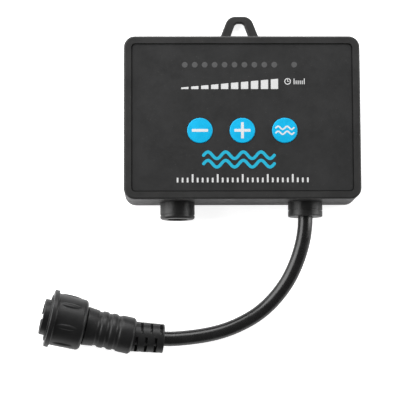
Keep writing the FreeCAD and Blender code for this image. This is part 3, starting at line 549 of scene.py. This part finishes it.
RIBS, RIB_AT = 7, math.radians(-13.8)
RIB_MIDDLE, RIB_HALF_LONG, RIB_HALF_WIDE, RIB_HIGH, RIB_SUNK = 7.2, 4.2, 1.15, 0.45, 0.3
RIB_ZONE_S, RIB_ZONE_R, RIB_ZONE_ANGLE = (2.0, 11.9), 10.0, math.radians(8.0)
NUT_BORE, THREAD_DEEP, THREAD_PITCH, THREAD_FRONT, THREAD_REAR = 8.9, 0.45, 1.5, 13.6, 5.4
THREAD_SHARE, FLANK_SHARE = 0.73, 0.23        # of one pitch: the groove and each of its flanks


def rib_height(s, r, angle):
    """How far the nearest finger rib stands out of the nut's barrel."""
    step = math.tau / RIBS
    off = (angle - RIB_AT + step / 2) % step - step / 2
    spread = math.sqrt(1 - (RIB_SUNK / (RIB_SUNK + RIB_HIGH)) ** 2)
    u = (s - RIB_MIDDLE) / (RIB_HALF_LONG / spread)
    v = off * r / (RIB_HALF_WIDE / spread)
    if u * u + v * v >= 1:
        return 0.0
    return max(0.0, (RIB_SUNK + RIB_HIGH) * math.sqrt(1 - u * u - v * v) - RIB_SUNK)


def thread_depth(s, angle):
    """How deep the helical thread is cut into the bore."""
    phase = ((THREAD_FRONT - s) / THREAD_PITCH + angle / math.tau) % 1
    flank = min(phase / FLANK_SHARE, (THREAD_SHARE - phase) / FLANK_SHARE, 1.0)
    fade = min(eased((THREAD_FRONT - s) / 1.0), eased((s - THREAD_REAR) / 1.2))
    return THREAD_DEEP * max(flank, 0.0) * fade


def nut_rise(s, r, angle):
    """The nut's ribs on its barrel and its thread in its bore."""
    if r > RIB_ZONE_R and RIB_ZONE_S[0] < s < RIB_ZONE_S[1]:
        return rib_height(s, r, angle)
    if abs(r - NUT_BORE) < 0.01:
        return thread_depth(s, angle)
    return 0.0


def nut_angles():
    """Lines round the nut, closer together over each rib."""
    angles = []
    for i in range(RIBS):
        crest = RIB_AT + i * math.tau / RIBS
        near, far = RIB_ZONE_ANGLE, math.tau / RIBS - RIB_ZONE_ANGLE
        angles += [crest - near + 2 * near * k / 16 for k in range(16)]
        angles += [crest + near + (far - near) * k / 12 for k in range(12)]
    return angles


nut_outline = spaced(rounded([
    (0.0, 6.6, 0.2),
    (0.0, 10.27, 1.6),
    (12.4, 10.55, 0.6),
    (12.4, 11.68, 0.25),
    (14.3, 11.68, 0.35),
    (14.3, 9.45, 0.1),
    (14.88, 9.35, 0.2),
    (14.88, 8.95, 0.1),
    (14.2, NUT_BORE, 0.0),
    (2.2, NUT_BORE, 0.0),
    (2.2, 6.6, 0.15),
]), 0.26)
nut_mesh = turned_skin(nut_outline, nut_angles(), connector, nut_rise)
finished("coupling_nut_skin", nut_mesh, "coupling_nut_body", "connector",
         replaces=["coupling_nut"], sharp=50)

GRIP_R, GRIP_FRONT, GRIP_REAR, GRIP_BORE_R, GRIP_BORE_END = 7.45, -0.3, -20.3, 6.5, -6.0
GROOVES, GROOVE_HALF, GROOVE_DEEP = (-13.5, -9.7, -5.8), 0.95, 0.52
SHOULDER, LIP = 0.9, 0.1
SEAM_HIGH, SEAM_HALF = 0.05, 0.22


def grip_outline():
    """The grip's outline from the axis at its rear round to the axis in its socket."""
    barrel = [(GRIP_REAR, 0.0, 0), (GRIP_REAR, 6.6, 0.25), (GRIP_REAR + 0.75, GRIP_R, 0.6)]
    for at in GROOVES:
        barrel.append((at - GROOVE_HALF - SHOULDER, GRIP_R, SHOULDER))
        barrel.append((at - GROOVE_HALF, GRIP_R - LIP, 0.25))
        for k in (-0.6, -0.3, 0.0, 0.3, 0.6):
            depth = GROOVE_DEEP * math.sqrt(1 - (k * 0.9) ** 2)
            barrel.append((at + k * GROOVE_HALF, GRIP_R - depth, 0))
        barrel.append((at + GROOVE_HALF, GRIP_R - LIP, 0.25))
        barrel.append((at + GROOVE_HALF + SHOULDER, GRIP_R, SHOULDER))
    front = [
        (GRIP_FRONT - 0.25, 7.87, 0.3),
        (GRIP_FRONT, 7.6, 0.2),
        (GRIP_FRONT, GRIP_BORE_R, 0.1),
        (GRIP_BORE_END, GRIP_BORE_R, 0),
        (GRIP_BORE_END, 0.0, 0),
    ]
    return rounded(barrel + front, steps=3)


def seam(angle, r):
    """The fine flash line that the mould leaves along both sides."""
    off = min(abs(math.remainder(angle - side, math.tau)) for side in (math.pi / 2, -math.pi / 2))
    return SEAM_HIGH * (1 - eased(off * r / SEAM_HALF))


def seamed_angles(count):
    """Even lines all round, with more of them at the two flash lines."""
    angles = {round(i * math.tau / count, 6) for i in range(count)}
    for side in (math.pi / 2, -math.pi / 2):
        for k in (-2, -1, 0, 1, 2):
            angles.add(round((side + k * SEAM_HALF / 2 / GRIP_R) % math.tau, 6))
    return sorted(angles)


def grip_rise(s, r, angle):
    """The grip's outside lies a seam's height in, so that the flash lines reach its full size."""
    return seam(angle, r) - SEAM_HIGH if r > GRIP_BORE_R + 0.2 else 0.0


grip_mesh = turned_skin(grip_outline(), seamed_angles(120), connector, grip_rise, ring=False)
finished("connector_grip_skin", grip_mesh, "housing", "connector", replaces=["connector_grip"])

BOOT_LONG, BOOT_R_FRONT, BOOT_R_END, BOOT_START, BOOT_LINE_STEP = 12.4, 6.1, 5.85, 0.6, 0.65
SLOT_HALF, SLOT_PITCH, SLOT_CORE, SLOT_EDGE = 0.5, 3.9, 3.7, 0.12
SLOT_FIRST, SLOT_COUNT, SLOT_SPAN = 1.4, 3, math.radians(84)
SLOT_SIDES = (math.radians(55), math.radians(-45))


def slot_rows():
    """Every slot as (middle along the boot, middle round it)."""
    return [
        (SLOT_FIRST + (i + half / 2) * SLOT_PITCH, side + opposite)
        for i in range(SLOT_COUNT)
        for half, side in enumerate(SLOT_SIDES)
        for opposite in (0.0, math.pi)
    ]


def boot_rise(s, r, angle):
    """Down into a slot, with a small round on its edges."""
    if r < BOOT_R_END - 0.85:
        return 0.0
    deep = 0.0
    for middle, side in slot_rows():
        along = (SLOT_HALF + SLOT_EDGE / 2 - abs(s - middle)) / SLOT_EDGE
        off = abs(math.remainder(angle - side, math.tau))
        round_it = (SLOT_SPAN / 2 - off) * r / (2 * SLOT_EDGE) + 0.5
        deep = max(deep, eased(along) * eased(round_it))
    return -deep * (r - SLOT_CORE)


def boot_radius(s):
    """The boot's slight taper."""
    return BOOT_R_END + (BOOT_R_FRONT - BOOT_R_END) * s / BOOT_LONG


def boot_outline():
    """From the axis at the lead's end to the axis just inside the grip, with lines at slot edges."""
    lines = set()
    for middle, _ in slot_rows():
        for wall in (middle - SLOT_HALF, middle + SLOT_HALF):
            lines.update(wall + k * SLOT_EDGE / 4 for k in (-2, -1, 0, 1, 2))
    lines.update(x * BOOT_LINE_STEP for x in range(1, 20))
    end = BOOT_LONG + BOOT_START
    start = rounded([(0.0, 0.0, 0), (0.0, BOOT_R_END, 0.5), (BOOT_START, boot_radius(BOOT_START), 0)])
    side = [(s, boot_radius(s)) for s in sorted(lines) if BOOT_START + 0.02 < s < end]
    return start + side + [(end, boot_radius(end)), (end, 0.0)]


def boot_angles():
    """Even lines all round, with more of them at the ends of the slots."""
    angles = {round(i * math.tau / 96, 6) for i in range(96)}
    for side in SLOT_SIDES:
        for opposite in (0.0, math.pi):
            for end in (-1, 1):
                for k in (-2, -1, 0, 1, 2):
                    at = side + opposite + end * SLOT_SPAN / 2 + k * SLOT_EDGE / 2 / BOOT_R_END
                    angles.add(round(at % math.tau, 6))
    return sorted(angles)


boot_start = Vector(CORD_ROUTE[-1])
boot = axis_place(boot_start, boot_start - Vector(CORD_ROUTE[-2]))
boot_mesh = turned_skin(boot_outline(), boot_angles(), boot, boot_rise, ring=False)
finished("connector_boot_skin", boot_mesh, "housing", "connector", replaces=["connector_boot"])

connector_pieces = ["connector_boot_skin", "connector_grip_skin", "coupling_nut_skin",
                    "connector_core", "socket_insert", "nose_seal"]
connector_pieces += [f"contact_socket_{i}" for i in (1, 2, 3)]


# ---------------------------------------------------------------- printed marks
PRINT_HIGH, PRINT_SUNK, PRINT_STEP = 0.03, 0.03, 0.9
overlay_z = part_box("front_overlay")[1].z / MM
KEY_CROWN, KEY_CROWN_R = 0.12, 4.75


def flat(x, y):
    """The height of the front sheet, the same all over."""
    return overlay_z


def middle_of(node):
    """A node's middle in plan, in millimetres."""
    low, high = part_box(node)
    return (low.x + high.x) / 2 / MM, (low.y + high.y) / 2 / MM


def crowned(key):
    """The height of a key's domed face over any point on it."""
    x0, y0 = middle_of(key)
    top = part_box(key)[1].z / MM
    sphere_r = (KEY_CROWN_R ** 2 + KEY_CROWN ** 2) / (2 * KEY_CROWN)

    def height(x, y):
        off = math.hypot(x - x0, y - y0)
        return top - (sphere_r - math.sqrt(sphere_r ** 2 - off ** 2))

    return height


def plate(mesh, outline, surface):
    """Adds a thin closed plate of ink with that outline, which follows the surface under it."""
    part = bmesh.new()
    points = [part.verts.new((x, y, 0)) for x, y in outline]
    for corners in tessellate_polygon([[p.co for p in points]]):
        part.faces.new([points[i] for i in corners])
    for axis in (0, 1):
        low, high = min(p[axis] for p in outline), max(p[axis] for p in outline)
        for k in range(1, math.ceil((high - low) / PRINT_STEP)):
            cut = Vector((0, 0, 0))
            cut[axis] = low + k * PRINT_STEP
            side = Vector((axis == 0, axis == 1, 0))
            everything = part.verts[:] + part.edges[:] + part.faces[:]
            bmesh.ops.bisect_plane(part, geom=everything, plane_co=cut, plane_no=side)
    raised = bmesh.ops.extrude_face_region(part, geom=part.faces[:])["geom"]
    tops = {v for v in raised if isinstance(v, bmesh.types.BMVert)}
    for v in part.verts:
        lift = PRINT_HIGH if v in tops else -PRINT_SUNK
        v.co = Vector((v.co.x, v.co.y, surface(v.co.x, v.co.y) + lift)) * MM
    whole = bpy.data.meshes.new("plate")
    part.to_mesh(whole)
    part.free()
    mesh.from_mesh(whole)
    bpy.data.meshes.remove(whole)


def softened(corners, rounding):
    """A closed outline in plan with every corner rounded, and no run longer than 0.5 mm."""
    return spaced(rounded([(x, y, rounding) for x, y in corners], steps=3), 0.5)


def stroke(points, width):
    """The outline of a pen stroke along points, with round ends."""
    half = width / 2
    points = [Vector(p) for p in points]
    left, right = [], []
    for i, p in enumerate(points):
        way = (points[min(i + 1, len(points) - 1)] - points[max(i - 1, 0)]).normalized()
        side = Vector((-way.y, way.x)) * half
        left.append(p + side)
        right.append(p - side)
    tip = (points[-1] - points[-2]).normalized()
    tail = (points[0] - points[1]).normalized()
    caps = []
    for end, way in ((points[-1], tip), (points[0], tail)):
        side = Vector((-way.y, way.x))
        caps.append([end + half * (side * math.cos(a) + way * math.sin(a))
                     for a in (math.pi * k / 8 for k in range(1, 8))])
    return [tuple(p) for p in left + caps[0] + right[::-1] + caps[1]]


def wave(x0, x1, y, swing, length):
    """Points along a sine line."""
    count = math.ceil((x1 - x0) / 0.3)
    xs = [x0 + (x1 - x0) * k / count for k in range(count + 1)]
    return [(x, y + swing * math.sin(math.tau * (x - x0) / length)) for x in xs]


def bar(x0, x1, y0, y1, rounding=0.12):
    """The outline of an upright rectangle with softened corners."""
    return softened([(x0, y0), (x1, y0), (x1, y1), (x0, y1)], rounding)


BARS, BAR_PITCH, BAR_FIRST, BAR_HALF, BAR_FOOT = 10, 4.0, -23.0, 1.47, 11.4
WEDGE_START, WEDGE_LOW, WEDGE_RISE = -24.5, 0.65, 3.55 / 39.1

level_bars = bmesh.new()
for i in range(BARS):
    left = BAR_FIRST + i * BAR_PITCH - BAR_HALF
    right = left + 2 * BAR_HALF
    tops = [BAR_FOOT + WEDGE_LOW + (x - WEDGE_START) * WEDGE_RISE for x in (left, right)]
    outline = [(left, BAR_FOOT), (right, BAR_FOOT), (right, tops[1]), (left, tops[0])]
    plate(level_bars, softened(outline, 0.15), flat)
finished("print_level_bars", level_bars, "housing", "overlay", material=white_ink)

WINDOW_R = 1.15
lamp_windows = bmesh.new()
for node in sorted(n for n in frame["nodes"] if n.startswith("led_")):
    x, y = middle_of(node)
    turn = [math.tau * k / 32 for k in range(32)]
    plate(lamp_windows, [(x + WINDOW_R * math.cos(a), y + WINDOW_R * math.sin(a)) for a in turn], flat)
finished("lamp_windows", lamp_windows, "housing", "lamp", material=window_film)

# a clock face with its two hands, and a short row of ticks beside it
CLOCK_X, CLOCK_Y, CLOCK_R, RING_W = 18.3, 14.5, 1.15, 0.34
HAND_W, HAND_FOOT, LONG_HAND, SHORT_HAND = 0.28, -0.05, 0.75, 0.55
TICK_FIRST, TICK_PITCH, TICK_HALF, TICK_FOOT, TICKS = 20.9, 0.82, 0.18, CLOCK_Y - 1.15, 6
TICK_TALL, TICK_LOW = 2.3, 1.5

timer_mark = bmesh.new()
ring = [(CLOCK_X + CLOCK_R * math.cos(a), CLOCK_Y + CLOCK_R * math.sin(a))
        for a in (math.radians(90 + 350 * k / 36) for k in range(37))]
hands = [(CLOCK_X, CLOCK_Y + LONG_HAND), (CLOCK_X, CLOCK_Y + HAND_FOOT),
         (CLOCK_X + SHORT_HAND, CLOCK_Y + HAND_FOOT)]
plate(timer_mark, stroke(ring, RING_W), flat)
plate(timer_mark, stroke(hands, HAND_W), flat)
for i in range(TICKS):
    x = TICK_FIRST + i * TICK_PITCH
    top = TICK_FOOT + (TICK_TALL if i % 5 == 0 else TICK_LOW)
    plate(timer_mark, bar(x - TICK_HALF, x + TICK_HALF, TICK_FOOT, top, 0.08), flat)
finished("print_timer_mark", timer_mark, "housing", "overlay", material=white_ink)

WAVE_LEFT, WAVE_RIGHT, WAVE_ROWS, WAVE_CRESTS = -15.6, 12.7, (-15.4, -18.8), 4
WAVE_SWING, WAVE_W = 1.35, 1.25
wave_mark = bmesh.new()
for y in WAVE_ROWS:
    line_of_waves = wave(WAVE_LEFT, WAVE_RIGHT, y, WAVE_SWING, (WAVE_RIGHT - WAVE_LEFT) / WAVE_CRESTS)
    plate(wave_mark, stroke(line_of_waves, WAVE_W), flat)
finished("print_wave_mark", wave_mark, "housing", "overlay", material=blue_ink)

SCALE_PITCH, SCALE_HALF, SCALE_FOOT, SCALE_TALL, SCALE_LOW = 2.0, 0.35, -26.3, 3.3, 1.9
scale_marks = bmesh.new()
for i in range(-13, 14):
    x = i * SCALE_PITCH
    top = SCALE_FOOT + (SCALE_TALL if i % 5 == 0 else SCALE_LOW)
    plate(scale_marks, bar(x - SCALE_HALF, x + SCALE_HALF, SCALE_FOOT, top), flat)
finished("print_scale", scale_marks, "housing", "overlay", material=white_ink)


def key_mark(key, outlines):
    """A white mark on one key, drawn about the key's middle."""
    x0, y0 = middle_of("key_" + key)
    mesh = bmesh.new()
    for outline in outlines:
        plate(mesh, [(x + x0, y + y0) for x, y in outline], crowned("key_" + key))
    finished("print_key_" + key, mesh, f"key_{key}_body", "key", material=key_ink)


arm, half = 3.25, 0.57
plus = [(-half, -arm), (half, -arm), (half, -half), (arm, -half), (arm, half), (half, half),
        (half, arm), (-half, arm), (-half, half), (-arm, half), (-arm, -half), (-half, -half)]
key_mark("minus", [bar(-arm, arm, -half, half, 0.2)])
key_mark("plus", [softened(plus, 0.15)])

RIPPLE_REACH, RIPPLE_SWING, RIPPLE_LENGTH, RIPPLE_W, RIPPLE_ROWS = 3.6, 0.62, 3.6, 0.62, (1.0, -1.0)
ripples = [wave(-RIPPLE_REACH, RIPPLE_REACH, y, RIPPLE_SWING, RIPPLE_LENGTH) for y in RIPPLE_ROWS]
key_mark("mode", [stroke(ripple, RIPPLE_W) for ripple in ripples])


# ---------------------------------------------------------------- table and light
WHITE = (1.0, 1.0, 1.0, 1.0)
TABLE_GLOW, TABLE_GLOW_SEEN = 0.35, 0.8       # what lights the object, and what shows directly


def paper_white():
    """Smooth white paper that glows a little, so that shadows on it stay faint."""
    material, tree, shader = new_material("table_white")
    fibre = noise(tree, 0.8 * MM, detail=2.0)
    base = mixed(tree, fibre, (0.86, 0.86, 0.86), (0.88, 0.88, 0.88))
    tree.links.new(base, shader.inputs["Base Color"])
    shader.inputs["Roughness"].default_value = 0.8
    shader.inputs["Emission Color"].default_value = WHITE
    seen = add(tree, "LightPath").outputs["Is Camera Ray"]
    glow = span(tree, seen, 0.0, 1.0, TABLE_GLOW, TABLE_GLOW_SEEN)
    tree.links.new(glow, shader.inputs["Emission Strength"])
    bumped(tree, shader, (fibre, 0.01 * MM))
    return material


TABLE_HALF, TABLE_Z = 1.6, -0.2 * MM
corners = [(-TABLE_HALF, -TABLE_HALF, TABLE_Z), (TABLE_HALF, -TABLE_HALF, TABLE_Z),
           (TABLE_HALF, TABLE_HALF, TABLE_Z), (-TABLE_HALF, TABLE_HALF, TABLE_Z)]
table = bpy.data.meshes.new("table")
table.from_pydata(corners, [], [(0, 1, 2, 3)])
table.materials.append(paper_white())
table_top = bpy.data.objects.new("table", table)
scene.collection.objects.link(table_top)


def soft_light(name, at, to, size, power):
    """A rectangular soft box; its size is in metres and its power in watts."""
    lamp = bpy.data.lights.new(name, "AREA")
    lamp.shape = "RECTANGLE"
    lamp.size, lamp.size_y = size
    lamp.energy = power
    made = bpy.data.objects.new(name, lamp)
    made.matrix_world = aimed(at, to)
    scene.collection.objects.link(made)


MIDDLE = (-0.01, -0.02, 0.01)
soft_light("softbox_left", (-0.80, 0.20, 0.42), MIDDLE, (0.9, 0.8), 13.0)
soft_light("softbox_right", (0.80, 0.15, 0.26), MIDDLE, (0.7, 0.45), 5.8)
soft_light("softbox_far", (-0.10, 0.85, 0.50), MIDDLE, (1.1, 0.6), 12.0)

# a white studio: it shows as plain white and fills the shadows with a weaker light
FILL, BACKDROP = 0.22, 1.0
world = bpy.data.worlds.new("studio")
world.use_nodes = True
scene.world = world
sky = world.node_tree
sky.nodes.clear()
seen = add(sky, "LightPath")
fill = add(sky, "Background", Color=WHITE, Strength=FILL)
backdrop = add(sky, "Background", Color=WHITE, Strength=BACKDROP)
choice = add(sky, "MixShader")
out = add(sky, "OutputWorld")
sky.links.new(seen.outputs["Is Camera Ray"], choice.inputs[0])
sky.links.new(fill.outputs[0], choice.inputs[1])
sky.links.new(backdrop.outputs[0], choice.inputs[2])
sky.links.new(choice.outputs[0], out.inputs["Surface"])
